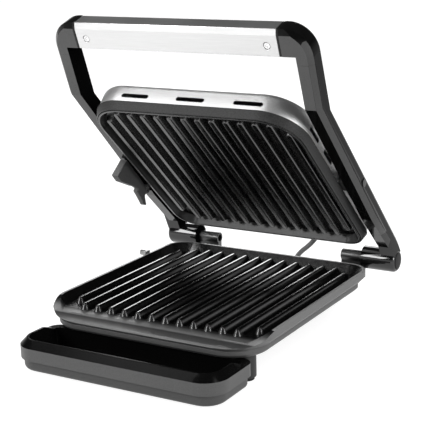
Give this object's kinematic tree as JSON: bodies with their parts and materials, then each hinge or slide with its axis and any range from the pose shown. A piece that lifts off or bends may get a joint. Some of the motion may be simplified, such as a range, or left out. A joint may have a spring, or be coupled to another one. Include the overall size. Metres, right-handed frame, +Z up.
{
  "type": "panini press",
  "caption": "Open panini press with ribbed plates, a lid floating on pivots between two arms with a bar handle, a side lock lever and a slide-out drip tray.",
  "frame": {"origin": "on the floor under the middle of the press's bounding box", "axes": "+X to the right as the cook sees it, +Y to the back, +Z up"},
  "size_m": [0.29, 0.3561, 0.3278],
  "materials": {
    "base_plastic": "fine grain",
    "belly_metal": "satin",
    "lower_plate_coating": "satin non-stick coating",
    "upper_plate_coating": "satin non-stick coating",
    "element_steel": "heat-dulled",
    "reflector_sheet": "bright sheet",
    "switch_metal": "satin",
    "fuse_metal": "satin",
    "terminal_plastic": "ceramic white",
    "fastener_steel": "zinc",
    "foot_plastic": "satin",
    "pad_rubber": "matte",
    "knuckle_metal": "satin",
    "pin_steel": "ground",
    "catch_metal": "satin",
    "gland_rubber": "matte",
    "guide_metal": "satin",
    "lead_rubber": "matte",
    "arm_gloss": "gloss black",
    "arm_cover_gloss": "gloss black",
    "handle_aluminium": "brushed",
    "core_plastic": "matte",
    "collar_gloss": "gloss black",
    "handle_screw_steel": "satin",
    "cap_gloss": "gloss black",
    "lid_steel": "brushed",
    "bezel_plastic": "fine grain",
    "bush_plastic": "satin",
    "lamp_lens": "clear gloss",
    "lever_plastic": "matte",
    "tray_plastic": "satin"
  },
  "bodies": {
    "base": {"base_housing": "base_plastic", "base_cover": "belly_metal", "lower_grill_plate": "lower_plate_coating", "lower_heating_element": "element_steel", "lower_reflector": "reflector_sheet", "base_thermostat": "switch_metal", "base_thermal_fuse": "fuse_metal", "terminal_block": "terminal_plastic", "lower_plate_studs": "fastener_steel", "feet": "foot_plastic", "foot_pads": "pad_rubber", "base_screws": "fastener_steel", "hinge_knuckle_left": "knuckle_metal", "hinge_knuckle_right": "knuckle_metal", "hinge_pin_left": "pin_steel", "hinge_pin_right": "pin_steel", "lock_catch": "catch_metal", "cord_gland": "gland_rubber", "lead_grommet": "gland_rubber", "tray_guides": "guide_metal", "lid_lead": "lead_rubber"},
    "arm_frame": {"arm_left": "arm_gloss", "arm_right": "arm_gloss", "arm_left_cover": "arm_cover_gloss", "arm_right_cover": "arm_cover_gloss", "handle_bar": "handle_aluminium", "handle_core": "core_plastic", "handle_collars": "collar_gloss", "handle_screws": "handle_screw_steel", "pivot_pin_left": "pin_steel", "pivot_pin_right": "pin_steel", "pivot_caps": "cap_gloss", "lock_pivot": "fastener_steel"},
    "lid": {"lid_cover": "lid_steel", "lid_bezel": "bezel_plastic", "upper_grill_plate": "upper_plate_coating", "upper_heating_element": "element_steel", "upper_reflector": "reflector_sheet", "lid_thermostat": "switch_metal", "lid_thermal_fuse": "fuse_metal", "upper_plate_studs": "fastener_steel", "pivot_bushes": "bush_plastic", "indicator_lamps": "lamp_lens"},
    "lever": {"lock_lever": "lever_plastic"},
    "tray": {"drip_tray": "tray_plastic"}
  },
  "joints": [
    {"name": "arm_hinge", "type": "hinge", "parent": "base", "child": "arm_frame", "pos_m": [0, 0.165, 0.051], "axis": [-1, 0, 0], "range_deg": [-42.6, 62.4], "deforming": ["lid_lead"]},
    {"name": "lid_pivot", "type": "hinge", "parent": "arm_frame", "child": "lid", "pos_m": [0, 0.07278, 0.15754], "axis": [1, 0, 0], "range_deg": [0, 1.8], "deforming": ["lid_lead"]},
    {"name": "lever_pivot", "type": "hinge", "parent": "arm_frame", "child": "lever", "pos_m": [-0.1322, 0.09093, 0.12115], "axis": [1, 0, 0], "range_deg": [0, 35]},
    {"name": "tray_slide", "type": "slide", "parent": "base", "child": "tray", "axis": [0, -1, 0], "range_m": [0, 0.075]}
  ]
}
